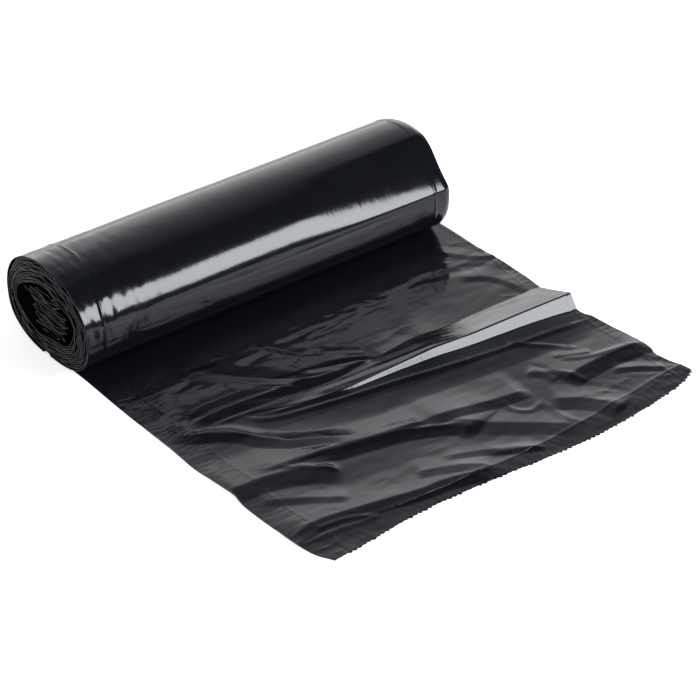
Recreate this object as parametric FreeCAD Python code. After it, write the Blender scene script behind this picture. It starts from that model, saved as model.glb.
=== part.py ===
import FreeCAD, Part
import math
import os

# A coreless roll of plastic bin bags lying on the floor, its outer end pulled out flat towards -Y.
# The bags are one continuous web of film, joined at torn-off perforations, so the model is one solid:
# the outermost bag on the floor, the turns wound over it, and the crumpled inner end of the web.
# Frame in millimetres: origin on the floor under the roll, +X along the roll, +Y to its back, +Z up.

# The web.
film_width = 300.0        # width of the folded bags, side edge to side edge, so also the roll's length
film_thickness = 0.45     # one turn of folded film, drawn as a single sheet
pull_out = 275.0          # from the roll's axis to the torn front edge

# The wound roll.
roll_depth = 92.0         # front to back, squashed by its own weight
roll_height = 68.0
roll_lean = 1.0           # how far the top leans back
turns = 12
squareness_low = 2.6      # superellipse exponent of the flattened underside
squareness_top = 2.05     # and of the rounder top
belly_share = 0.485       # height of the widest point, as a share of the roll's height

# How thick the turns lie on each side of the space in the middle, which is what they leave.
wound_front = 17.0
wound_back = 10.5
wound_top = 19.0
wound_under = 12.5
wall_ripple = 0.9         # how far the wall of that space wanders in and out

# The crumpled first bags, folded flat in that space.
fold_count = 7
fold_margin = 3.0         # the folds stay this far inside the wall
fold_sag = 0.5            # how far each fold droops

arcs_per_turn = 8
FIRST_ANGLE = math.radians(278)
LAST_ANGLE = math.radians(270 + 360 * turns)

# Where the film lies on the floor.
flat_back = 6.0           # the flat spot reaches this far behind the axis

# Two soft creases cross the pulled-out bag. Each is given at places across the web, as shares of its
# width from the left edge: how far forward as a share of pull_out, how high, and half its width.
crease_places = [0.0, 0.14, 0.28, 0.42, 0.62, 1.0]
back_crease = [
    (0.29, 0.4, 7.0), (0.40, 1.6, 8.0), (0.475, 4.2, 11.0),
    (0.51, 6.8, 13.5), (0.525, 7.6, 15.0), (0.555, 8.5, 17.0),
]
front_crease = [
    (0.38, 2.5, 10.0), (0.485, 3.0, 11.0), (0.62, 3.4, 12.0),
    (0.70, 3.6, 13.0), (0.755, 3.8, 14.0), (0.82, 4.0, 15.0),
]
first_flat_share = 0.25   # the bag lies flat over this share of pull_out, up to the creases
last_flat_share = 0.105   # and over this much before its torn edge

# The bag's closed bottom: a welded seam, then a torn row of perforations.
seam_inset = 12.0         # from the torn edge to the seam
seam_width = 2.0
seam_height = 0.25
tooth_pitch = 3.75
tooth_depth = 1.2


def signed_power(value, power):
    return math.copysign(abs(value) ** power, value)


def outer_section(angle):
    """Middle line of the outermost turn, which rests on the flat tail: depth and height at an angle."""
    across = math.cos(angle)
    upward = math.sin(angle)
    half_depth = (roll_depth - film_thickness) / 2
    height = roll_height - 2 * film_thickness
    belly = belly_share * height
    squareness = squareness_top if upward > 0 else squareness_low
    reach = height - belly if upward > 0 else belly
    y = half_depth * signed_power(across, 2 / squareness)
    z = belly + reach * signed_power(upward, 2 / squareness)
    lean = roll_lean * math.sin(2 * angle) * math.copysign(1.0, upward)
    return y, z + lean + film_thickness * 1.5


def core_size():
    """Half the depth and half the height of the space in the middle, and where its middle is."""
    half_depth = (roll_depth - wound_front - wound_back) / 2
    half_height = (roll_height - wound_top - wound_under) / 2
    return half_depth, half_height, (wound_front - wound_back) / 2, wound_under + half_height


def core_section(angle):
    """Wall of the space in the middle, with its slow ripple."""
    half_depth, half_height, middle_y, middle_z = core_size()
    ripple = wall_ripple * math.sin(5 * angle + 0.6)
    y = middle_y + (half_depth + ripple) * math.cos(angle)
    z = middle_z + (half_height + ripple) * math.sin(angle)
    return y, z


def wound_point(angle):
    """Middle line of the turns at an angle, which grows inwards: up the back, over the top, down the front."""
    inward = (angle - FIRST_ANGLE) / (LAST_ANGLE - FIRST_ANGLE)
    outer = outer_section(angle)
    core = core_section(angle)
    return tuple(outer[axis] * (1 - inward) + core[axis] * inward for axis in (0, 1))


def wound_path():
    """Stations along the turns, each with its heading."""
    count = round(arcs_per_turn * turns) * 2
    step = (LAST_ANGLE - FIRST_ANGLE) / count
    path = []
    for station in range(count + 1):
        angle = FIRST_ANGLE + step * station
        y, z = wound_point(angle)
        before = wound_point(angle - step / 20)
        after = wound_point(angle + step / 20)
        path.append((y, z, math.atan2(after[1] - before[1], after[0] - before[0])))
    return path


def folded_path():
    """Stations along the web's inner end: limp folds stacked in the space in the middle, from its floor up."""
    half_depth, half_height, middle_y, middle_z = core_size()
    half_depth -= fold_margin
    half_height -= fold_margin
    rise = 1.6 * half_height / fold_count
    y, start_z = wound_point(LAST_ANGLE)
    z = middle_z - 0.8 * half_height
    sagged_z = (start_z + z) / 2
    path = []
    for fold in range(fold_count):
        side = 1 if fold % 2 == 0 else -1
        heading = 0.0 if side > 0 else math.pi
        room = half_depth * math.sqrt(1 - ((z + rise / 2 - middle_z) / half_height) ** 2)
        reach = room * (1 - 0.1 * (fold % 3))
        turn = middle_y + side * (reach - rise / 2)
        path.append(((y + turn) / 2, sagged_z, heading))
        path.append((turn, z, heading))
        path.append((turn + side * rise / 2, z + rise / 2, math.pi / 2))
        path.append((turn, z + rise, math.pi - heading))
        y = turn
        z += rise
        sagged_z = z - fold_sag
    return path[:-2]


def face_points(path, side):
    """One face of the film, half a thickness to a side of its middle line."""
    offset = side * film_thickness / 2
    return [FreeCAD.Vector(0, y - offset * math.sin(heading), z + offset * math.cos(heading))
            for y, z, heading in path]


def arc_edges(points):
    """Arcs through each third point, or lines where the points are in line."""
    edges = []
    for start, middle, end in zip(points[0:-2:2], points[1:-1:2], points[2::2]):
        bow = middle.distanceToLine(start, end - start)
        edges.append(Part.Arc(start, middle, end).toShape() if bow > 0.001 else Part.makeLine(start, end))
    return edges


def make_wound_web():
    """The flat tail, the turns and the crumpled inner end, as one section drawn along the roll."""
    path = wound_path()
    path += folded_path()
    inside = face_points(path, 1)
    outside = face_points(path, -1)
    tail_top = [FreeCAD.Vector(0, y, film_thickness) for y in (-first_flat_share * pull_out, flat_back)]
    tail_under = [FreeCAD.Vector(0, y, 0) for y in (-first_flat_share * pull_out, flat_back)]
    edges = [Part.makeLine(tail_under[0], tail_under[1]), Part.makeLine(tail_under[1], outside[0])]
    edges += arc_edges(outside)
    edges.append(Part.makeLine(outside[-1], inside[-1]))
    edges += arc_edges(inside)[::-1]
    edges += [Part.makeLine(inside[0], tail_top[1]), Part.makeLine(tail_top[1], tail_top[0])]
    edges.append(Part.makeLine(tail_top[0], tail_under[0]))
    section = Part.Face(Part.Wire(edges))
    section.translate(FreeCAD.Vector(-film_width / 2, 0, 0))
    return section.extrude(FreeCAD.Vector(film_width, 0, 0))


def hump(forward_share, tall, wide):
    """Stations over one crease, back to front: a hollow arc, the round top and another hollow arc."""
    turn = 2 * math.atan2(tall, wide)
    radius = wide / (2 * math.sin(turn))
    foot = radius * math.sin(turn / 2)
    foot_rise = radius * (1 - math.cos(turn / 2))
    half = [(wide, 0.0), (wide - foot, foot_rise), (wide / 2, tall / 2)]
    front = [(-y, z) for y, z in reversed(half)]
    return [(y - forward_share * pull_out, z) for y, z in half + [(0.0, tall)] + front]


def crease_profile(humps):
    """Stations along the creased length, with the flat film between the creases."""
    profile = [(-first_flat_share * pull_out, 0.0)]
    for stations in humps + [[((last_flat_share - 1) * pull_out, 0.0)]]:
        profile.append(((profile[-1][0] + stations[0][0]) / 2, 0.0))
        profile += stations
    return profile


def crease_wire(x, humps):
    """The film's section at one place across the web."""
    profile = crease_profile(humps)
    under = [FreeCAD.Vector(x, y, z) for y, z in profile]
    top = [FreeCAD.Vector(x, y, z + film_thickness) for y, z in profile]
    edges = arc_edges(under) + [Part.makeLine(under[-1], top[-1])]
    edges += arc_edges(top)[::-1] + [Part.makeLine(top[0], under[0])]
    return Part.Wire(edges)


def make_creased_bag():
    """The creased length of the pulled-out bag, from section to section across the web."""
    wires = []
    for place, back, front in zip(crease_places, back_crease, front_crease):
        wires.append(crease_wire(film_width * (place - 0.5), [hump(*back), hump(*front)]))
    return Part.makeLoft(wires, True, True)


def make_torn_edge():
    """The flat strip at the bag's closed end, with its row of torn perforations."""
    half = film_width / 2
    front = -pull_out
    back = (last_flat_share - 1) * pull_out
    tooth_count = round(film_width / tooth_pitch)
    points = [FreeCAD.Vector(-half, back, 0), FreeCAD.Vector(-half, front, 0)]
    for tooth in range(tooth_count):
        tip = -half + film_width * (tooth + 0.5) / tooth_count
        end = -half + film_width * (tooth + 1) / tooth_count
        points.append(FreeCAD.Vector(tip, front - tooth_depth, 0))
        points.append(FreeCAD.Vector(end, front, 0))
    points.append(FreeCAD.Vector(half, back, 0))
    strip = Part.Face(Part.makePolygon(points + points[:1]))
    return strip.extrude(FreeCAD.Vector(0, 0, film_thickness))


def make_seam():
    """The weld that closes the bag, a low bead from side edge to side edge."""
    corner = FreeCAD.Vector(-film_width / 2, -pull_out + seam_inset, 0)
    return Part.makeBox(film_width, seam_width, film_thickness + seam_height, corner)


def make_bag_roll():
    """The whole web, one solid."""
    return make_wound_web().fuse([make_creased_bag(), make_torn_edge(), make_seam()]).removeSplitter()


def main():
    os.makedirs("parts", exist_ok=True)
    make_bag_roll().exportStep("parts/bag_roll.step")


main()
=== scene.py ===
import math

import bmesh
import bpy
import numpy as np
from bpy.props import FloatProperty, FloatVectorProperty, IntProperty, PointerProperty
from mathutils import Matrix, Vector


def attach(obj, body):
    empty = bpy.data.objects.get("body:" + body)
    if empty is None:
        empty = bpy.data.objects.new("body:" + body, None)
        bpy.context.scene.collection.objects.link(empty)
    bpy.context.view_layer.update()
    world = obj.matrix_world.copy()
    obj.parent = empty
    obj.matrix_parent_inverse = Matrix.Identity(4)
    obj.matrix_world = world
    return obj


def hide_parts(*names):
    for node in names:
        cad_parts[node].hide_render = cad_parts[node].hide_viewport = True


bl_info = {
    "name": "Bin Bag Roll",
    "version": (1, 0, 0),
    "blender": (4, 5, 0),
    "location": "View3D > Sidebar > Bag Roll",
    "description": "A roll of glossy black bin bags with its outer bag pulled out flat",
    "category": "Add Mesh",
}

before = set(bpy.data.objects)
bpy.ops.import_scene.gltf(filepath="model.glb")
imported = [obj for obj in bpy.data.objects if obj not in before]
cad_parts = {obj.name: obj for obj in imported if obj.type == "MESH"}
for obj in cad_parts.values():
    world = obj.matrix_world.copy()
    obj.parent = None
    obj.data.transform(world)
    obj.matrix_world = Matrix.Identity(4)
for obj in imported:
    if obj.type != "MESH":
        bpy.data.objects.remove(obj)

# Shapes are worked out in millimetres and written to the meshes in metres.
MM = 0.001

# The roll's outline and the space in its middle, the same as the frame's.
ROLL_LEAN = 1.0
SQUARENESS_LOW = 2.6
SQUARENESS_TOP = 2.05
BELLY_SHARE = 0.485
WOUND_FRONT = 17.0
WOUND_BACK = 10.5
WOUND_TOP = 19.0
WOUND_UNDER = 12.5
WALL_RIPPLE = 0.9

# The turns start where the film leaves the floor, and the outermost one ends where it comes round to the
# floor again.
FIRST_ANGLE = math.radians(278)
FLOOR_ANGLE = math.radians(630)

# The ends of the wound film along X, the welds that run round the roll near them, and how much these
# stray towards -X on the way down the front.
ROLL_LEFT = -151.0
ROLL_RIGHT = 145.0
ROLL_WELDS = (-128.0, 138.0)
WELD_SLANT = 0.22

# The pulled-out bag: how far behind the roll's axis it starts, its length, the share of that length at
# which the main fold crosses it, the height of its flat film and the least gap between film and floor.
BAG_START = 10.0
BAG_LENGTH = 285.0
FOLD_SHARE = 0.57
FILM_REST = 0.35
FLOOR_GAP = 0.02

# The pulled-out bag's side edges and torn edge: places along each, as (x, y).
LEFT_EDGE = [(-149, 12), (-148, -27), (-150, -77), (-151, -131), (-152, -157), (-150, -191),
             (-152, -210), (-150, -262), (-142, -282)]
RIGHT_EDGE = [(149, 12), (150, -32), (149, -67), (150, -86), (149, -113), (146.5, -135), (146, -156),
              (146, -171), (150, -182), (153, -225), (151, -237), (156, -266)]
TORN_EDGE = [(-152, -281), (-142, -280), (-115, -278), (-86, -275), (-55, -274), (-10, -276), (35, -279),
             (68, -279), (103, -276), (123, -273), (145, -268), (157, -262)]

# Welds on the pulled-out bag.
LEFT_WELD = [(-132, 0), (-133, -226), (-130, -256)]
RIGHT_WELD = [(148, 0), (147, -73), (139, -131), (143, -182), (143, -256)]
BOTTOM_WELD = [(-131, -255), (-75, -263), (-21, -266), (50, -265), (143, -255)]

# The main fold's crest: x, y, how far its front drops, how high the film lies at its foot, and how
# wide its back is.
MAIN_FOLD = [
    (-95, -131, 0.0, 0.0, 10), (-60, -144.5, 0.7, 1.6, 12), (-32, -150.4, 1.9, 2.6, 14),
    (0, -152.2, 3.0, 3.1, 18), (20, -153.3, 3.8, 3.4, 22), (50, -155.0, 5.1, 3.9, 27),
    (95, -157.8, 6.7, 4.3, 30), (125, -159.4, 8.0, 3.3, 31), (146, -160.1, 9.4, 1.7, 31),
    (170, -160.6, 9.4, 1.7, 31),
]

# A low swell behind the main fold: places along its top, height, width of its near side and of its
# far side.
SWELL = ([(-150, -119), (-100, -118), (-60, -124), (-20, -131), (20, -137), (70, -144)], 3.4, 34, 52)

# Creases of the pulled-out bag, each a long rise to its crest and a shorter, straight fall on its near
# side: places along the crest as the camera sees them on the floor, height, width of its near side and
# of its far side.
CREASES = [
    ([(-106, -60), (-86, -78), (-68, -100), (-48, -118), (-38, -129)], 1.7, 6.5, 16),
    ([(-16, -102), (-4, -109), (10, -118)], 0.7, 3.5, 8),
    ([(-40, -70), (-30, -88), (-22, -98)], 0.5, 4, 8),
    ([(-40, -112), (-22, -120), (4, -130)], 1.0, 4, 12),
    ([(-134, -120), (-104, -117), (-60, -121), (-20, -127), (16, -131)], 2.0, 8, 14),
    ([(-150, -116), (-131, -130), (-113, -142), (-101, -159), (-85, -175), (-54, -193)], 2.1, 8, 13),
    ([(-130, -185), (-83, -192), (-43, -200), (-6, -206)], 1.3, 4.0, 26),
    ([(-112, -189), (-62, -198), (-30, -205), (-2, -219), (6, -234)], 2.5, 9.0, 38),
    ([(-16, -204), (25, -211), (62, -217)], 1.9, 8.0, 34),
    ([(-160, -190), (-128, -192), (-105, -199), (-82, -213)], 3.0, 13, 34),
    ([(-144, -207), (-120, -221), (-96, -240)], 0.9, 6, 14),
    ([(-156, -249), (-128, -246), (-100, -251), (-62, -259), (-42, -261), (0, -272)], 2.4, 9, 30),
    ([(-54, -242), (-30, -252), (-10, -266)], 1.0, 8, 15),
    ([(-32, -238), (0, -252), (24, -268)], 0.8, 6, 14),
    ([(-4, -254), (14, -263), (28, -270)], 0.8, 4, 8),
    ([(-4, -212), (18, -230), (40, -248), (60, -266)], 1.3, 12, 17),
    ([(72, -200), (80, -209), (82, -220)], 0.9, 5, 9),
    ([(84, -223), (112, -219), (160, -221)], 2.8, 11, 32),
    ([(62, -232), (78, -243), (89, -258), (94, -270)], 1.5, 12, 17),
    ([(96, -196), (110, -205), (120, -210)], 0.6, 3.5, 6),
    ([(116, -231), (132, -240), (146, -252)], 1.1, 5, 8),
    ([(112, -86), (132, -103), (138, -134)], 0.8, 5, 14),
    ([(124, -52), (138, -71), (154, -82)], 0.5, 5, 9),
]

# Thin lips that catch the light along the creases, given in the same way.
LIPS = [
    ([(-96, -127), (-84, -141), (-40, -151), (7, -158), (60, -167), (120, -174), (152, -179)],
     0.7, 4.5, 2.6),
    ([(-82, -136), (-50, -143), (-22, -149)], 0.5, 3.5, 2.4),
    ([(-84, -91), (-69, -108), (-48, -130)], 0.6, 4.0, 2.4),
    ([(-30, -97), (-14, -107), (8, -122)], 0.6, 4.0, 2.6),
    ([(-126, -125), (-90, -128), (-60, -132), (4, -137), (88, -140)], 0.5, 3.5, 2.4),
    ([(-134, -127), (-115, -136), (-106, -149), (-90, -168)], 0.6, 3.5, 2.4),
    ([(-114, -189), (-62, -199), (-30, -206), (2, -221)], 0.5, 3.0, 2.4),
    ([(-114, -189), (-99, -200), (-84, -212)], 0.6, 3.5, 4.0),
    ([(-136, -251), (-112, -255), (-94, -264)], 0.6, 3.5, 3.0),
    ([(-154, -257), (-120, -259), (-96, -264)], 0.4, 4.0, 3.0),
    ([(40, -214), (39, -226), (47, -234), (62, -230)], 0.5, 4.0, 3.5),
    ([(76, -198), (88, -216), (97, -232)], 0.5, 4.5, 4.0),
    ([(98, -202), (116, -213), (150, -220)], 0.5, 4.0, 4.0),
    ([(84, -165), (104, -184), (117, -201)], 0.5, 4.5, 3.0),
    ([(60, -232), (58, -250), (64, -270)], 0.4, 6.0, 5.0),
]

# How far along +X and +Y the camera sees a place moved on the floor for each millimetre of its height.
SEEN_X = 0.97
SEEN_Y = 1.22

# Where small wrinkles crowd: middle, reach along and across, how many, heading and its spread in
# degrees, longest, and height.
WRINKLED = [
    ((118, -246), (42, 22), 60, -35, 50, 22, 0.30),
    ((60, -76), (95, 12), 60, -20, 25, 30, 0.16),
    ((-90, -90), (55, 45), 40, -35, 25, 32, 0.16),
    ((132, -85), (16, 40), 30, -30, 40, 20, 0.25),
    ((-136, -115), (16, 16), 26, -40, 40, 14, 0.22),
    ((-50, -235), (85, 30), 40, -30, 25, 36, 0.14),
    ((0, -268), (145, 8), 90, -60, 30, 14, 0.18),
]

# Where the turns are drawn flat towards their right end: from this depth on top to this height in front.
FLAT_FROM_Y = -9.0
FLAT_TO_Z = 39.0

# The crumpled first bags: how many folds, where they start, and the space that they fill.
CORE_FOLDS = 24
CORE_START = (3.0, 14.0)
CORE_LOW = 15.5
CORE_RISE = 29.5
CORE_MIDDLE_Z = 31.0
CORE_HALF_HEIGHT = 16.5
CORE_HALF_DEPTH = 28.0

# The underside of a fine piece has only every so many of its rows and columns.
UNDER_STEP = 4

# Faces that meet at more than this angle keep a sharp edge.
SHARP_ANGLE = math.radians(50)

# How strongly the floor glows to the camera, to gloss and to clear material, how much more it glows to
# the camera alone, and how strongly gloss sees the wall.
FLOOR_GLOW = 0.2
FLOOR_GLOW_TO_CAMERA = 0.45
WALL_STRENGTH = 2.4

# Brightness of the wall as gloss sees it: (sine of the angle over the floor, level).
WALL_LEVELS = [(0.0, 1.0), (0.19, 0.86), (0.44, 0.66), (0.53, 0.45), (0.62, 0.37), (0.75, 0.31), (1.0, 0.29)]


def signed_power(value, power):
    return np.sign(value) * np.abs(value) ** power


def smooth_step(value, low, high):
    share = np.clip((value - low) / (high - low), 0, 1)
    return share * share * (3 - 2 * share)


def crowded(count, spots):
    """Shares from 0 to 1, closer together at some spots, each given as (share, width, how much closer)."""
    plain = np.linspace(0, 1, 2000)
    density = 1 + sum(extra * np.exp(-((plain - share) / width) ** 2) for share, width, extra in spots)
    total = np.cumsum(density)
    shares = np.interp(np.linspace(total[0], total[-1], count), total, plain)
    shares[0], shares[-1] = 0, 1
    return shares


def drift_noise(x, y, seed):
    """Soft random hills about -1 to 1, one hill to a unit."""
    turns = np.random.default_rng(seed).uniform(0, 2 * math.pi, (64, 64))
    column = np.floor(x).astype(int)
    row = np.floor(y).astype(int)
    across = x - column
    down = y - row

    def slope(step_x, step_y):
        turn = turns[(column + step_x) % 64, (row + step_y) % 64]
        return np.cos(turn) * (across - step_x) + np.sin(turn) * (down - step_y)

    ease_x = across ** 3 * (across * (6 * across - 15) + 10)
    ease_y = down ** 3 * (down * (6 * down - 15) + 10)
    near = slope(0, 0) * (1 - ease_x) + slope(1, 0) * ease_x
    far = slope(0, 1) * (1 - ease_x) + slope(1, 1) * ease_x
    return 1.5 * (near * (1 - ease_y) + far * ease_y)


def smooth_line(places, count):
    """Points along a smooth line through some places."""
    places = np.array(places, float)
    ends = np.vstack([2 * places[0] - places[1], places, 2 * places[-1] - places[-2]])
    share = np.linspace(0, len(places) - 1, count)
    leg = np.minimum(share.astype(int), len(places) - 2)
    part = (share - leg)[:, None]
    a, b, c, d = (ends[leg + step] for step in range(4))
    return b + part / 2 * (c - a + part * (2 * a - 5 * b + 4 * c - d + part * (3 * (b - c) + d - a)))


def map_film(mesh, places):
    """The mesh's map of the film, from each vertex's place on the film in metres."""
    layer = mesh.uv_layers.get("film") or mesh.uv_layers.new(name="film")
    corners = np.empty(len(mesh.loops), int)
    mesh.loops.foreach_get("vertex_index", corners)
    layer.data.foreach_set("uv", places[corners].ravel())


def mesh_object(name, points, faces, places):
    """A smooth-shaded object at the origin, from points and their places on the film in millimetres."""
    mesh = bpy.data.meshes.new(name)
    mesh.from_pydata((points * MM).tolist(), [], faces)
    map_film(mesh, places * MM)
    form = bmesh.new()
    form.from_mesh(mesh)
    bmesh.ops.recalc_face_normals(form, faces=form.faces)
    form.to_mesh(mesh)
    form.free()
    mesh.polygons.foreach_set("use_smooth", [True] * len(mesh.polygons))
    mesh.set_sharp_from_angle(angle=SHARP_ANGLE)
    thing = bpy.data.objects.new(name, mesh)
    bpy.context.collection.objects.link(thing)
    return thing


def film_shell(name, upper, under, step, film):
    """A closed thin shell: a fine upper side, an underside of every step-th row and column, a rim."""
    rows, columns = upper.shape[:2]
    fine = np.arange(rows * columns).reshape(rows, columns)
    coarse_shape = under[::step, ::step].shape[:2]
    coarse = rows * columns + np.arange(coarse_shape[0] * coarse_shape[1]).reshape(coarse_shape)
    faces = []
    for grid in (fine, coarse[::-1]):
        quads = np.stack([grid[:-1, :-1], grid[:-1, 1:], grid[1:, 1:], grid[1:, :-1]], -1)
        faces += quads.reshape(-1, 4).tolist()
    borders = ((fine[0], coarse[0]), (fine[-1][::-1], coarse[-1][::-1]),
               (fine[::-1, 0], coarse[::-1, 0]), (fine[:, -1], coarse[:, -1]))
    for fine_line, coarse_line in borders:
        for part in range(len(coarse_line) - 1):
            run = fine_line[part * step:(part + 1) * step + 1]
            faces.append(run[::-1].tolist() + [int(coarse_line[part]), int(coarse_line[part + 1])])
    points = np.vstack([upper.reshape(-1, 3), under[::step, ::step].reshape(-1, 3)])
    places = np.vstack([film.reshape(-1, 2), film[::step, ::step].reshape(-1, 2)])
    return mesh_object(name, points, faces, places)


def outer_section(angle, sizes):
    """Middle line of the outermost turn: depth and height at an angle, 270 degrees at the floor."""
    across = np.cos(angle)
    upward = np.sin(angle)
    film = sizes.film_thickness / MM
    half_depth = (sizes.roll_depth / MM - film) / 2
    height = sizes.roll_height / MM - 2 * film
    belly = BELLY_SHARE * height
    squareness = np.where(upward > 0, SQUARENESS_TOP, SQUARENESS_LOW)
    reach = np.where(upward > 0, height - belly, belly)
    y = half_depth * signed_power(across, 2 / squareness)
    z = belly + reach * signed_power(upward, 2 / squareness)
    return y, z + ROLL_LEAN * np.sin(2 * angle) * np.sign(upward) + film * 1.5


def core_section(angle, sizes):
    """Wall of the space in the middle, with its slow ripple."""
    half_depth = (sizes.roll_depth / MM - WOUND_FRONT - WOUND_BACK) / 2
    half_height = (sizes.roll_height / MM - WOUND_TOP - WOUND_UNDER) / 2
    ripple = WALL_RIPPLE * np.sin(5 * angle + 0.6)
    y = (WOUND_FRONT - WOUND_BACK) / 2 + (half_depth + ripple) * np.cos(angle)
    z = WOUND_UNDER + half_height + (half_height + ripple) * np.sin(angle)
    return y, z


def wound_path(first, last, spacing, sizes):
    """Evenly spaced points along the turns between two angles, their outward normals and lengths."""
    angle = np.linspace(first, last, int((last - first) / math.radians(0.5)))
    inward = (angle - FIRST_ANGLE) / (2 * math.pi * sizes.turns)
    outer = np.stack(outer_section(angle, sizes), -1)
    core = np.stack(core_section(angle, sizes), -1)
    path = outer + (core - outer) * inward[:, None]
    length = np.r_[0, np.cumsum(np.hypot(*np.diff(path, axis=0).T))]
    even = np.linspace(0, length[-1], int(round(length[-1] / spacing / 4)) * 4 + 1)
    path = np.stack([np.interp(even, length, path[:, axis]) for axis in (0, 1)], -1)
    heading = np.gradient(path, axis=0)
    heading /= np.hypot(*heading.T)[:, None]
    return path, np.stack([heading[:, 1], -heading[:, 0]], -1), even


def wound_surface(path, normal, x, lift):
    """Points over a stretch of the turns, moved out by lift."""
    rows, columns = np.broadcast_shapes((len(path), 1), x.shape)
    points = np.empty((rows, columns, 3))
    points[..., 0] = x
    points[..., 1] = path[:, :1] + normal[:, :1] * lift
    points[..., 2] = path[:, 1:] + normal[:, 1:] * lift
    return points


def right_end(path):
    """Where the wound film ends on the right, drawn in on the way down the front."""
    return ROLL_RIGHT - 4 * smooth_step(-path[:, :1], 15, 46)


def edge_at(places, along, axis):
    """How far an edge line reaches on one axis, at places along the other."""
    line = smooth_line(places, 400)
    order = np.argsort(line[:, 1 - axis])
    return np.interp(along, line[order, 1 - axis], line[order, axis])


def line_offset(x, y, places):
    """Signed distance of points to a line, positive on its near side, and the share along it."""
    line = smooth_line(places, 120)
    along = np.gradient(line, axis=0)
    along /= np.hypot(*along.T)[:, None]
    near_side = np.stack([along[:, 1], -along[:, 0]], -1)
    apart_x = x[:, None] - line[:, 0]
    apart_y = y[:, None] - line[:, 1]
    nearest = (apart_x ** 2 + apart_y ** 2).argmin(-1)
    pick = np.arange(len(x))
    offset = apart_x[pick, nearest] * near_side[nearest, 0] + apart_y[pick, nearest] * near_side[nearest, 1]
    return offset, nearest / 119


def add_crease(height, x, y, places, tall, near, far):
    """One crease: a long rise on its far side, a rounded crest and a straight fall on its near side."""
    reach = max(near, far) + 1
    line = np.array(places)
    inside = (x > line[:, 0].min() - reach) & (x < line[:, 0].max() + reach)
    inside &= (y > line[:, 1].min() - reach) & (y < line[:, 1].max() + reach)
    offset, share = line_offset(x[inside], y[inside], places)
    fade = smooth_step(share, 0, 0.15) * smooth_step(1 - share, 0, 0.15)
    rise = np.clip(1 + offset / far, 0, 2) ** 1.3
    fall = np.clip(1 - offset / near, 0, 2)
    soft = 0.35 / near
    crest = np.minimum(rise, fall) - soft * np.log1p(np.exp(-np.abs(rise - fall) / soft))
    height[inside] += tall * fade * np.maximum(crest, 0)


def add_wrinkle(height, x, y, middle, heading, length, width, tall):
    """One small straight wrinkle with a sharp ridge."""
    along_x, along_y = math.cos(heading), math.sin(heading)
    inside = (np.abs(x - middle[0]) < length / 2) & (np.abs(y - middle[1]) < length / 2)
    apart_x = x[inside] - middle[0]
    apart_y = y[inside] - middle[1]
    along = (apart_x * along_x + apart_y * along_y) / (length / 2)
    across = np.hypot(apart_y * along_x - apart_x * along_y, 0.3) / width
    height[inside] += tall * np.clip(1 - along ** 2, 0, 1) ** 2 * np.exp(-across)


def main_fold_height(x, y):
    """The tall fold that crosses the bag: a straight back, a rounded crest, a steep front and an apron."""
    fold = np.array(MAIN_FOLD, float)
    crest, drop, foot, back = (edge_at(fold[:, (0, column)], x, 1) for column in (1, 2, 3, 4))
    drop = np.maximum(drop, 0)
    foot = np.maximum(foot, 0)
    ahead = crest - y
    front = 0.72 * drop + 0.2
    rising = (drop + foot) * np.clip(1 + ahead / back, 0, 2)
    apron = foot * np.clip(1 - (ahead - front) / 29, 0, 1) ** 1.15
    falling = np.where(ahead > front, apron, foot + drop * (1 - ahead / front))
    soft = 0.05 * (drop + foot) + 0.02
    lowest = np.minimum(rising, falling)
    return lowest - soft * np.log1p(np.exp(-np.abs(rising - falling) / soft))


def bag_height(x, y, seed):
    """Height of the pulled-out bag's film over the floor."""
    height = FILM_REST + np.maximum(main_fold_height(x, y), 0)
    add_crease(height, x, y, *SWELL)
    seen_x = x + SEEN_X * height
    seen_y = y + SEEN_Y * height
    calm = 1 / (1 + (height / 4) ** 2)
    free = smooth_step(-y, 40, 80)
    height += free * 0.35 * (0.7 + drift_noise(x / 55, y / 24, seed))
    fine = drift_noise(x / 17 + 0.5 * drift_noise(x / 30, y / 30, seed + 1), y / 8, seed + 2)
    height += free * calm * 0.10 * fine
    near_roll = np.exp(-((y + 78) / 11) ** 2)
    waves = 0.42 * drift_noise(x / 26, y / 8, seed + 3)
    waves += 0.10 * drift_noise(x / 8, y / 5, seed + 4)
    height += near_roll * waves
    for places, tall, near, far in CREASES + LIPS:
        add_crease(height, seen_x, seen_y, places, tall, near, far)
    random = np.random.default_rng(seed)
    for middle, reach, count, heading, spread, longest, tall in WRINKLED:
        for _ in range(count):
            place = np.array(middle) + np.array(reach) * random.uniform(-1, 1, 2)
            turn = math.radians(heading + spread * random.normal())
            length = longest * random.uniform(0.35, 1)
            size = tall * random.uniform(0.3, 1) * random.choice([-0.6, 1.0])
            add_wrinkle(height, x, y, place, turn, length, random.uniform(0.8, 2.6), size)
    return height


def weld_ridges(x, y, seed):
    """The side welds, the fine ribs of the strips outside the welds, and the hump at the bottom weld."""
    left = x - edge_at(LEFT_WELD, y, 0)
    right = edge_at(RIGHT_WELD, y, 0) - x
    ribs = 0.10 * drift_noise(x / 11, y / 2.4, seed + 5) + 0.06 * drift_noise(x / 5, y / 1.3, seed + 6)
    height = np.zeros_like(x)
    for inside in (left, right):
        height += 0.16 * np.exp(-(inside / 0.9) ** 2)
        height += ribs * smooth_step(-inside, -1, 1)
    bottom = y - edge_at(BOTTOM_WELD, x, 1)
    front_ribs = 0.12 * drift_noise(x / 2.6, y / 9, seed + 7)
    height += front_ribs * smooth_step(-bottom, -1, 1) + 0.12 * np.exp(-(bottom / 0.9) ** 2)
    hump = np.where(bottom < 0, np.clip(1 + bottom / 15, 0, 1), np.exp(-np.maximum(bottom, 0) / 7))
    return height + 0.9 * hump


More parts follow.
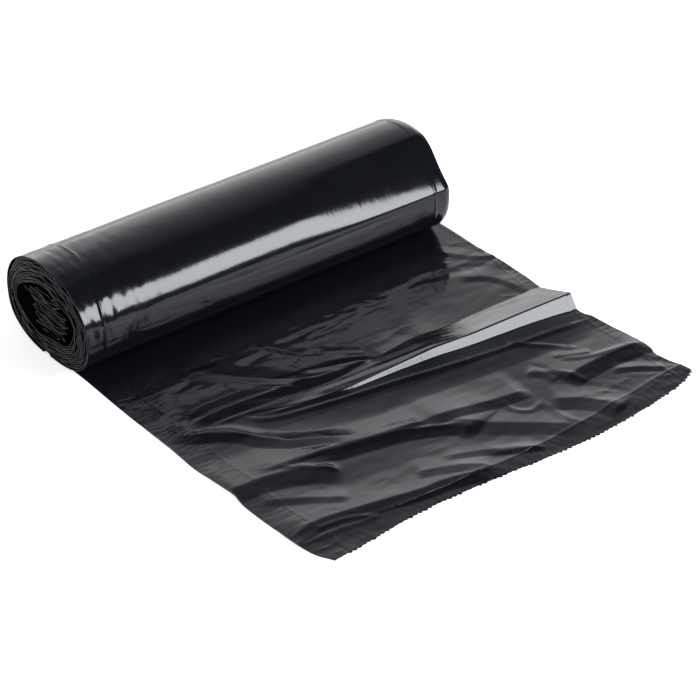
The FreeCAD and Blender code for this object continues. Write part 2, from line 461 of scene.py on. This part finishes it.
def bag_grid(columns, rows):
    """Places on the pulled-out bag, in rows that end at the torn edge and bend along the main fold."""
    across = np.linspace(0, 1, columns)[None, :]
    along = crowded(rows, [(0.0, 0.2, -0.6), (FOLD_SHARE, 0.05, 0.8)])[:, None]
    fold_row = np.abs(along - FOLD_SHARE).argmin()
    bend = smooth_step(0.35 - np.abs(along - along[fold_row]), 0, 0.35)
    crest = np.array(MAIN_FOLD)[:, :2]
    y = BAG_START - BAG_LENGTH * along + 0 * across
    for _ in range(3):
        left = edge_at(LEFT_EDGE, y, 0)
        right = edge_at(RIGHT_EDGE, y, 0)
        x = left + (right - left) * across
        reach = edge_at(TORN_EDGE, x, 1) - BAG_START
        fold_share = (edge_at(crest, x, 1) - BAG_START) / reach
        y = BAG_START + reach * (along + (fold_share - along[fold_row]) * bend)
    return x, y


def lowest_nearby(height, steps):
    """The lowest height within some steps of each point, along its row and its column."""
    lowest = height.copy()
    for shift in range(1, steps + 1):
        for axis in (0, 1):
            lowest = np.minimum(lowest, np.roll(height, shift, axis))
            lowest = np.minimum(lowest, np.roll(height, -shift, axis))
    return lowest


def flattened(path, x, sizes, tuck):
    """How far the turns are drawn in, towards their right end, below a slanting flat at their top front."""
    outline = np.stack(outer_section(np.linspace(0, 2 * math.pi, 2000), sizes), -1)
    high = outline[outline[:, 1] > 50]
    forward = outline[outline[:, 0] < -20]
    start = high[np.abs(high[:, 0] - FLAT_FROM_Y).argmin()]
    end = forward[np.abs(forward[:, 1] - FLAT_TO_Z).argmin()]
    along = (end - start) / np.hypot(*(end - start))
    outside = np.maximum((path - start) @ np.array([along[1], -along[0]]), 0)[:, None] + 0 * x
    outside = np.where(outside > 0, outside + tuck, 0)
    return -outside ** 2 / (outside + 0.8) * 0.85 * smooth_step(x, -5, 150)


def core_fold_line(seed):
    """The crumpled first bags' line, to and fro in the space in the middle, from its floor up, and not
    quite to its last place."""
    random = np.random.default_rng(seed)
    places = [CORE_START]
    for fold in range(CORE_FOLDS):
        share = fold / CORE_FOLDS
        z = CORE_LOW + CORE_RISE * share
        room = CORE_HALF_DEPTH * math.sqrt(max(0.05, 1 - ((z - CORE_MIDDLE_Z) / CORE_HALF_HEIGHT) ** 2))
        middle = CORE_START[0] + 0.16 * room * math.sin(6.0 * share + 3.4)
        side = 1 if fold % 2 == 0 else -1
        reach = room * random.uniform(0.4, 0.86)
        places.append((middle + side * reach * 0.5, z - random.uniform(0.3, 1.6)))
        places.append((middle + side * reach, z + 0.2))
        places.append((middle + side * reach, z + 0.8))
    return smooth_line(places, 640)[:-3]


def film_material(finish):
    """Glossy black polyethylene: fine draw lines along the web, small puckers and a faint haze."""
    material = bpy.data.materials.new("glossy_black_film")
    material.use_nodes = True
    nodes = material.node_tree.nodes
    link = material.node_tree.links.new
    shader = nodes["Principled BSDF"]
    shader.inputs["IOR"].default_value = 1.5
    shader.inputs["Specular Tint"].default_value = (0.92, 0.955, 1.0, 1.0)
    place = nodes.new("ShaderNodeUVMap")
    place.uv_map = "film"

    def film_noise(scale, detail):
        """Noise over the film, with so many grains to a metre across it and along it."""
        mapping = nodes.new("ShaderNodeMapping")
        mapping.inputs["Scale"].default_value = scale
        noise = nodes.new("ShaderNodeTexNoise")
        noise.inputs["Scale"].default_value = 1.0
        noise.inputs["Detail"].default_value = detail
        link(place.outputs["UV"], mapping.inputs["Vector"])
        link(mapping.outputs["Vector"], noise.inputs["Vector"])
        return noise.outputs["Fac"]

    haze = film_noise((60, 40, 1), 3)
    roughness = nodes.new("ShaderNodeMapRange")
    roughness.inputs["To Min"].default_value = finish.roughness - 0.03
    roughness.inputs["To Max"].default_value = finish.roughness + 0.05
    link(haze, roughness.inputs["Value"])
    link(roughness.outputs["Result"], shader.inputs["Roughness"])

    tint = nodes.new("ShaderNodeMix")
    tint.data_type = "RGBA"
    tint.inputs["A"].default_value = tuple(0.8 * part for part in finish.film_colour) + (1,)
    tint.inputs["B"].default_value = tuple(1.25 * part for part in finish.film_colour) + (1,)
    link(haze, tint.inputs["Factor"])
    link(tint.outputs["Result"], shader.inputs["Base Color"])

    relief = 0.00005
    draw_lines = nodes.new("ShaderNodeBump")
    draw_lines.inputs["Strength"].default_value = 1.0
    draw_lines.inputs["Distance"].default_value = relief
    link(film_noise((420, 14, 1), 2), draw_lines.inputs["Height"])
    puckers = nodes.new("ShaderNodeBump")
    puckers.inputs["Strength"].default_value = 1.0
    puckers.inputs["Distance"].default_value = relief
    link(film_noise((90, 150, 1), 3), puckers.inputs["Height"])
    link(draw_lines.outputs["Normal"], puckers.inputs["Normal"])
    link(puckers.outputs["Normal"], shader.inputs["Normal"])
    return material


def dress(piece):
    """Gives a piece the film's finish and its place in the frame."""
    finish = bpy.context.scene.bag_roll_finish
    material = bpy.data.materials.get("glossy_black_film") or film_material(finish)
    piece.data.materials.clear()
    piece.data.materials.append(material)
    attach(piece, "root")
    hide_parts("bag_roll")


class BagRollSizes(bpy.types.PropertyGroup):
    film_thickness: FloatProperty(
        name="Film thickness", description="Thickness of one folded bag", default=0.0003, unit="LENGTH")
    roll_depth: FloatProperty(
        name="Roll depth", description="The roll from front to back", default=0.092, unit="LENGTH")
    roll_height: FloatProperty(
        name="Roll height", description="The roll from the floor to its top", default=0.068, unit="LENGTH")
    turns: IntProperty(name="Turns", description="How many turns of film are wound", default=17)
    tooth_pitch: FloatProperty(
        name="Tooth pitch", description="From one torn perforation to the next", default=0.00375,
        unit="LENGTH")
    tooth_depth: FloatProperty(
        name="Tooth depth", description="How far the torn teeth stand out", default=0.0009, unit="LENGTH")
    weld_width: FloatProperty(
        name="Weld width", description="Width of the bag's bottom weld", default=0.0011, unit="LENGTH")
    seed: IntProperty(name="Seed", description="Changes the small random wrinkles", default=7)


class BagRollFinish(bpy.types.PropertyGroup):
    film_colour: FloatVectorProperty(
        name="Film colour", description="Colour of the film", subtype="COLOR",
        default=(0.0055, 0.0065, 0.0095))
    roughness: FloatProperty(name="Roughness", description="Roughness of the film", default=0.13)
    floor_colour: FloatVectorProperty(
        name="Floor colour", description="Colour of the floor", subtype="COLOR",
        default=(0.92, 0.92, 0.92))


class MakePulledOutBag(bpy.types.Operator):
    """The bag pulled out of the roll, lying on the floor with its folds, creases and welds"""
    bl_idname = "bag_roll.make_pulled_out_bag"
    bl_label = "Pulled-out bag"

    def execute(self, context):
        sizes = context.scene.bag_roll_sizes
        film = sizes.film_thickness / MM
        x, y = bag_grid(277, 305)
        height = bag_height(x.ravel(), y.ravel(), sizes.seed).reshape(x.shape)
        height += weld_ridges(x, y, sizes.seed)
        height = np.maximum(height, film + FLOOR_GAP)
        under_height = np.maximum(lowest_nearby(height, UNDER_STEP) - film, 0)
        upper = np.stack([x, y, height], -1)
        under = np.stack([x, y, under_height], -1)
        bag = film_shell("pulled_out_bag", upper, under, UNDER_STEP, np.stack([x, y], -1))
        dress(bag)
        return {"FINISHED"}


class MakeOuterTurn(bpy.types.Operator):
    """The outermost turn of the roll, with its draw lines and side welds"""
    bl_idname = "bag_roll.make_outer_turn"
    bl_label = "Outer turn"

    def execute(self, context):
        sizes = context.scene.bag_roll_sizes
        path, normal, length = wound_path(FIRST_ANGLE - 0.05, FLOOR_ANGLE, 1.4, sizes)
        right = right_end(path)
        across = crowded(225, [(0.06, 0.03, 2.5), (0.94, 0.03, 1.5)])[None, :]
        x = ROLL_LEFT + (right - ROLL_LEFT) * across
        s = length[:, None] + 0 * x
        seed = sizes.seed
        free = smooth_step(s, 4, 40) * smooth_step(s[-1, 0] - s, 4, 40)
        ruffled = smooth_step(-x, 40, 150)
        lift = 0.30 * drift_noise(x / 70, s / 45, seed + 11)
        lift += 0.06 * drift_noise(x / 22, s / 60, seed + 12)
        lift += (0.015 + 0.22 * ruffled ** 2) * drift_noise(x / 4.5, s / 16, seed + 13)
        lift += 0.18 * ruffled * drift_noise(x / 16, s / 9, seed + 14)
        lift -= 1.8 * smooth_step(x, right - 6, right + 1) ** 2
        lift = free * lift + flattened(path, x, sizes, 0.0)
        for weld in ROLL_WELDS:
            askew = WELD_SLANT * np.minimum(path[:, :1], 0)
            lift += free * 0.38 * np.exp(-((x - weld - askew) / 0.8) ** 2)
        upper = wound_surface(path, normal, x, lift)
        under = wound_surface(path, normal, x, lift - sizes.film_thickness / MM)
        turn = film_shell("outer_turn", upper, under, UNDER_STEP, np.stack([x, s], -1))
        dress(turn)
        return {"FINISHED"}


class MakeInnerTurns(bpy.types.Operator):
    """All the turns inside the outermost one, with uneven edges and gaps"""
    bl_idname = "bag_roll.make_inner_turns"
    bl_label = "Inner turns"

    def execute(self, context):
        sizes = context.scene.bag_roll_sizes
        last = FIRST_ANGLE + 2 * math.pi * sizes.turns
        path, normal, length = wound_path(FLOOR_ANGLE, last, 2.6, sizes)
        seed = sizes.seed
        s = length[:, None]
        places = np.array([0, 0.012, 0.03, 0.42, 0.52, 0.62, 0.72, 0.82, 0.92, 0.97, 0.988, 1.0])[None, :]
        left = ROLL_LEFT + 0.8 + 1.5 * drift_noise(s / 23, 0 * s, seed + 21)
        left += 0.7 * drift_noise(s / 7, 0 * s, seed + 22)
        right = right_end(path) - 1.0 + drift_noise(s / 23, 0 * s, seed + 23)
        x = left + (right - left) * places
        gap = 0.16 * drift_noise(s / 37, 0 * s, seed + 24) + 0.05 * drift_noise(s / 11, 0 * s, seed + 25)
        turn_number = (s / s[-1]) * sizes.turns
        lift = gap - 0.15 + flattened(path, x, sizes, 0.8 + 0.1 * turn_number)
        upper = wound_surface(path, normal, x, lift)
        under = wound_surface(path, normal, x, lift - 1.4 * sizes.film_thickness / MM)
        turns = film_shell("inner_turns", upper, under, 1, np.stack([x, s + 0 * x], -1))
        dress(turns)
        return {"FINISHED"}


class MakeCoreFolds(bpy.types.Operator):
    """The first bags, crumpled into uneven stacks of folds in the middle of the roll"""
    bl_idname = "bag_roll.make_core_folds"
    bl_label = "Core folds"

    def execute(self, context):
        sizes = context.scene.bag_roll_sizes
        line = core_fold_line(sizes.seed + 31)
        heading = np.gradient(line, axis=0)
        heading /= np.hypot(*heading.T)[:, None]
        normal = np.stack([heading[:, 1], -heading[:, 0]], -1)
        s = np.r_[0, np.cumsum(np.hypot(*np.diff(line, axis=0).T))][:, None]
        left = ROLL_LEFT + 3.0 + 2.0 * drift_noise(s / 16, 0 * s, sizes.seed + 32)
        x = left + (ROLL_RIGHT - 3 - left) * np.array([0, 0.02, 0.06, 0.94, 0.98, 1.0])[None, :]
        half_film = 0.2 + 0 * x
        upper = wound_surface(line, normal, x, half_film)
        under = wound_surface(line, normal, x, -half_film)
        folds = film_shell("core_folds", upper, under, 1, np.stack([x, s + 0 * x], -1))
        dress(folds)
        return {"FINISHED"}


def math_node(tree, operation, *values):
    """The result of a math node on sockets or plain numbers."""
    node = tree.nodes.new("ShaderNodeMath")
    node.operation = operation
    for socket, value in zip(node.inputs, values):
        if isinstance(value, float):
            socket.default_value = value
        else:
            tree.links.new(value, socket)
    return node.outputs["Value"]


def curve_through(name, places):
    """A curve object through some places, in millimetres."""
    curve = bpy.data.curves.new(name, "CURVE")
    curve.dimensions = "3D"
    spline = curve.splines.new("POLY")
    spline.points.add(len(places) - 1)
    for point, place in zip(spline.points, places):
        point.co = (place[0] * MM, place[1] * MM, place[2] * MM, 1)
    thing = bpy.data.objects.new(name, curve)
    bpy.context.collection.objects.link(thing)
    return thing


def new_tree(name, inputs):
    """A geometry node tree with one geometry in, one out, and named sizes."""
    tree = bpy.data.node_groups.new(name, "GeometryNodeTree")
    tree.interface.new_socket("Geometry", in_out="INPUT", socket_type="NodeSocketGeometry")
    for label, kind in inputs:
        tree.interface.new_socket(label, in_out="INPUT", socket_type=kind)
    tree.interface.new_socket("Geometry", in_out="OUTPUT", socket_type="NodeSocketGeometry")
    return tree


def end_tree(tree, geometry):
    """Ends a tree with real meshes in the film's material."""
    real = tree.nodes.new("GeometryNodeRealizeInstances")
    finish = tree.nodes.new("GeometryNodeSetMaterial")
    finish.inputs["Material"].default_value = bpy.data.materials["glossy_black_film"]
    leave = tree.nodes.new("NodeGroupOutput")
    tree.links.new(geometry, real.inputs["Geometry"])
    tree.links.new(real.outputs["Geometry"], finish.inputs["Geometry"])
    tree.links.new(finish.outputs["Geometry"], leave.inputs["Geometry"])


def run_tree(thing, tree, name, values):
    """Runs a tree on a curve object and leaves a plain mesh, mapped from its places, instead."""
    modifier = thing.modifiers.new("make", "NODES")
    modifier.node_group = tree
    for item in tree.interface.items_tree:
        if item.in_out == "INPUT" and item.name in values:
            modifier[item.identifier] = values[item.name]
    bpy.context.view_layer.update()
    depsgraph = bpy.context.evaluated_depsgraph_get()
    mesh = bpy.data.meshes.new_from_object(thing.evaluated_get(depsgraph))
    mesh.name = name
    made = bpy.data.objects.new(name, mesh)
    bpy.context.collection.objects.link(made)
    bpy.data.objects.remove(thing)
    places = np.empty(len(mesh.vertices) * 3)
    mesh.vertices.foreach_get("co", places)
    map_film(mesh, places.reshape(-1, 3)[:, :2])
    return made


def teeth_tree():
    """Sets a small uneven tooth at each pitch along a curve."""
    tree = new_tree("torn_teeth", [("Pitch", "NodeSocketFloat"), ("Depth", "NodeSocketFloat"),
                                   ("Thickness", "NodeSocketFloat"), ("Seed", "NodeSocketInt")])
    nodes = tree.nodes
    link = tree.links.new
    entry = nodes.new("NodeGroupInput")
    spread = nodes.new("GeometryNodeCurveToPoints")
    spread.mode = "LENGTH"
    link(entry.outputs["Geometry"], spread.inputs["Curve"])
    link(entry.outputs["Pitch"], spread.inputs["Length"])
    tooth = nodes.new("GeometryNodeMeshCone")
    tooth.inputs["Vertices"].default_value = 4
    tooth.inputs["Radius Top"].default_value = 0.12
    tooth.inputs["Radius Bottom"].default_value = 0.62
    tooth.inputs["Depth"].default_value = 1.0
    size = nodes.new("ShaderNodeCombineXYZ")
    link(entry.outputs["Thickness"], size.inputs["X"])
    link(entry.outputs["Pitch"], size.inputs["Y"])
    link(entry.outputs["Depth"], size.inputs["Z"])
    uneven = nodes.new("FunctionNodeRandomValue")
    uneven.data_type = "FLOAT_VECTOR"
    uneven.inputs["Min"].default_value = (0.9, 0.5, 0.2)
    uneven.inputs["Max"].default_value = (1.1, 1.2, 1.5)
    link(entry.outputs["Seed"], uneven.inputs["Seed"])
    scale = nodes.new("ShaderNodeVectorMath")
    scale.operation = "MULTIPLY"
    link(size.outputs["Vector"], scale.inputs[0])
    link(uneven.outputs["Value"], scale.inputs[1])
    turn = nodes.new("FunctionNodeAlignRotationToVector")
    turn.axis = "Y"
    turn.pivot_axis = "AUTO"
    link(spread.outputs["Tangent"], turn.inputs["Vector"])
    lay_down = nodes.new("FunctionNodeRotateRotation")
    lay_down.rotation_space = "LOCAL"
    lay_down.inputs["Rotate By"].default_value = (0.0, math.radians(90), 0.0)
    link(turn.outputs["Rotation"], lay_down.inputs["Rotation"])
    place = nodes.new("GeometryNodeInstanceOnPoints")
    link(spread.outputs["Points"], place.inputs["Points"])
    link(tooth.outputs["Mesh"], place.inputs["Instance"])
    link(lay_down.outputs["Rotation"], place.inputs["Rotation"])
    link(scale.outputs["Vector"], place.inputs["Scale"])
    end_tree(tree, place.outputs["Instances"])
    return tree


def weld_tree():
    """Sweeps a round bead along a curve."""
    tree = new_tree("bottom_weld", [("Width", "NodeSocketFloat")])
    nodes = tree.nodes
    link = tree.links.new
    entry = nodes.new("NodeGroupInput")
    bead = nodes.new("GeometryNodeCurvePrimitiveCircle")
    bead.inputs["Resolution"].default_value = 8
    link(math_node(tree, "MULTIPLY", entry.outputs["Width"], 0.5), bead.inputs["Radius"])
    sweep = nodes.new("GeometryNodeCurveToMesh")
    sweep.inputs["Fill Caps"].default_value = True
    link(entry.outputs["Geometry"], sweep.inputs["Curve"])
    link(bead.outputs["Curve"], sweep.inputs["Profile Curve"])
    end_tree(tree, sweep.outputs["Mesh"])
    return tree


class MakeTornTeeth(bpy.types.Operator):
    """The row of torn perforations along the pulled-out bag's front edge"""
    bl_idname = "bag_roll.make_torn_teeth"
    bl_label = "Torn teeth"

    def execute(self, context):
        sizes = context.scene.bag_roll_sizes
        edge = [(x, edge_at(TORN_EDGE, x, 1) - 0.3, 0.4) for x in range(-142, 155, 4)]
        values = {"Pitch": sizes.tooth_pitch, "Depth": sizes.tooth_depth,
                  "Thickness": sizes.film_thickness, "Seed": sizes.seed}
        teeth = run_tree(curve_through("tooth_row", edge), teeth_tree(), "torn_teeth", values)
        dress(teeth)
        return {"FINISHED"}


class MakeBottomWeld(bpy.types.Operator):
    """The weld that closes the pulled-out bag, a low bead across it"""
    bl_idname = "bag_roll.make_bottom_weld"
    bl_label = "Bottom weld"

    def execute(self, context):
        sizes = context.scene.bag_roll_sizes
        x, y = smooth_line(BOTTOM_WELD, 140).T
        height = bag_height(x, y, sizes.seed) + weld_ridges(x, y, sizes.seed)
        sunk = sizes.weld_width / MM / 2 - 0.02
        line = curve_through("weld_line", np.column_stack([x, y, height - sunk]))
        weld = run_tree(line, weld_tree(), "bottom_weld", {"Width": sizes.weld_width})
        dress(weld)
        return {"FINISHED"}


def make_camera():
    """The camera at the photograph's angle."""
    camera = bpy.data.cameras.new("camera")
    camera.lens = 154.19
    camera.sensor_width = 36
    thing = bpy.data.objects.new("camera", camera)
    thing.location = (-0.991229, -1.362717, 1.022598)
    target = Vector((-0.026109, -0.146940, 0.030))
    thing.rotation_euler = (target - thing.location).to_track_quat("-Z", "Y").to_euler()
    bpy.context.collection.objects.link(thing)
    bpy.context.scene.camera = thing


def make_floor(colour):
    """A pale floor that keeps the object's shadow and is white to the camera."""
    mesh = bpy.data.meshes.new("floor")
    mesh.from_pydata([(-4, -4, 0), (4, -4, 0), (4, 4, 0), (-4, 4, 0)], [], [(0, 1, 2, 3)])
    floor = bpy.data.objects.new("floor", mesh)
    bpy.context.collection.objects.link(floor)
    material = bpy.data.materials.new("pale_floor")
    material.use_nodes = True
    tree = material.node_tree
    nodes = tree.nodes
    link = tree.links.new
    nodes.clear()
    matt = nodes.new("ShaderNodeBsdfDiffuse")
    matt.inputs["Color"].default_value = tuple(colour) + (1,)
    rays = nodes.new("ShaderNodeLightPath").outputs
    seen = math_node(tree, "MAXIMUM", rays["Is Camera Ray"], rays["Is Glossy Ray"])
    seen = math_node(tree, "MAXIMUM", seen, rays["Is Transmission Ray"])
    level = math_node(tree, "MULTIPLY", seen, FLOOR_GLOW)
    level = math_node(tree, "MULTIPLY_ADD", rays["Is Camera Ray"], FLOOR_GLOW_TO_CAMERA, level)
    glow = nodes.new("ShaderNodeEmission")
    link(level, glow.inputs["Strength"])
    both = nodes.new("ShaderNodeAddShader")
    link(matt.outputs["BSDF"], both.inputs[0])
    link(glow.outputs["Emission"], both.inputs[1])
    leave = nodes.new("ShaderNodeOutputMaterial")
    link(both.outputs["Shader"], leave.inputs["Surface"])
    mesh.materials.append(material)


def make_key_light():
    """A large soft box to the front and right."""
    brightness = 12
    distance = 2.5
    lamp = bpy.data.lights.new("key", "AREA")
    lamp.shape = "RECTANGLE"
    lamp.size = 1.1
    lamp.size_y = 1.35
    lamp.energy = brightness * math.pi * lamp.size * lamp.size_y
    thing = bpy.data.objects.new("key", lamp)
    towards = Vector((0.523, -0.68, 0.49)).normalized()
    middle = Vector((0.0, -0.05, 0.05))
    thing.location = middle + towards * distance
    thing.rotation_euler = (-towards).to_track_quat("-Z", "Y").to_euler()
    bpy.context.collection.objects.link(thing)


def make_world():
    """White to the camera, even for matt surfaces, and a white wall under a dark ceiling for gloss."""
    world = bpy.data.worlds.new("studio")
    bpy.context.scene.world = world
    world.use_nodes = True
    tree = world.node_tree
    nodes = tree.nodes
    link = tree.links.new
    nodes.clear()
    place = nodes.new("ShaderNodeTexCoord")
    split = nodes.new("ShaderNodeSeparateXYZ")
    link(place.outputs["Generated"], split.inputs["Vector"])
    wall = nodes.new("ShaderNodeValToRGB")
    stops = wall.color_ramp.elements
    stops[1].position = WALL_LEVELS[-1][0]
    for position, _ in WALL_LEVELS[1:-1]:
        stops.new(position)
    for stop, (_, level) in zip(stops, WALL_LEVELS):
        stop.color = (level, level, level, 1)
    link(split.outputs["Z"], wall.inputs["Fac"])
    behind = nodes.new("ShaderNodeMapRange")
    behind.inputs["From Min"].default_value = 0.15
    behind.inputs["From Max"].default_value = 0.70
    behind.inputs["To Min"].default_value = 0.02
    behind.inputs["To Max"].default_value = 1.0
    link(split.outputs["Y"], behind.inputs["Value"])
    mirrored = math_node(tree, "MULTIPLY", wall.outputs["Color"], behind.outputs["Result"])
    bright = math_node(tree, "MULTIPLY", mirrored, WALL_STRENGTH)
    rays = nodes.new("ShaderNodeLightPath").outputs
    for_gloss = nodes.new("ShaderNodeMix")
    for_gloss.inputs["A"].default_value = 0.62
    link(rays["Is Glossy Ray"], for_gloss.inputs["Factor"])
    link(bright, for_gloss.inputs["B"])
    through = math_node(tree, "MAXIMUM", rays["Is Camera Ray"], rays["Is Transmission Ray"])
    for_camera = nodes.new("ShaderNodeMix")
    for_camera.inputs["B"].default_value = 1.0
    link(through, for_camera.inputs["Factor"])
    link(for_gloss.outputs["Result"], for_camera.inputs["A"])
    background = nodes.new("ShaderNodeBackground")
    link(for_camera.outputs["Result"], background.inputs["Strength"])
    leave = nodes.new("ShaderNodeOutputWorld")
    link(background.outputs["Background"], leave.inputs["Surface"])


class MakeStage(bpy.types.Operator):
    """The floor, the soft studio light and the camera"""
    bl_idname = "bag_roll.make_stage"
    bl_label = "Stage"

    def execute(self, context):
        context.scene.view_settings.view_transform = "Standard"
        make_camera()
        make_floor(context.scene.bag_roll_finish.floor_colour)
        make_key_light()
        make_world()
        return {"FINISHED"}


MAKERS = (MakePulledOutBag, MakeOuterTurn, MakeInnerTurns, MakeCoreFolds, MakeTornTeeth, MakeBottomWeld,
          MakeStage)


class BagRollPanel(bpy.types.Panel):
    bl_idname = "VIEW3D_PT_bag_roll"
    bl_label = "Bag Roll"
    bl_space_type = "VIEW_3D"
    bl_region_type = "UI"
    bl_category = "Bag Roll"

    def draw(self, context):
        for group in (context.scene.bag_roll_sizes, context.scene.bag_roll_finish):
            for name in type(group).__annotations__:
                self.layout.prop(group, name)
        for maker in MAKERS:
            self.layout.operator(maker.bl_idname)


CLASSES = (BagRollSizes, BagRollFinish) + MAKERS + (BagRollPanel,)


def register():
    for part in CLASSES:
        bpy.utils.register_class(part)
    bpy.types.Scene.bag_roll_sizes = PointerProperty(type=BagRollSizes)
    bpy.types.Scene.bag_roll_finish = PointerProperty(type=BagRollFinish)


def unregister():
    del bpy.types.Scene.bag_roll_finish
    del bpy.types.Scene.bag_roll_sizes
    for part in reversed(CLASSES):
        bpy.utils.unregister_class(part)


def main():
    register()
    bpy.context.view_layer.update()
    bpy.ops.bag_roll.make_pulled_out_bag()
    bpy.ops.bag_roll.make_outer_turn()
    bpy.ops.bag_roll.make_inner_turns()
    bpy.ops.bag_roll.make_core_folds()
    bpy.ops.bag_roll.make_torn_teeth()
    bpy.ops.bag_roll.make_bottom_weld()
    bpy.ops.bag_roll.make_stage()


if __name__ == "__main__":
    main()
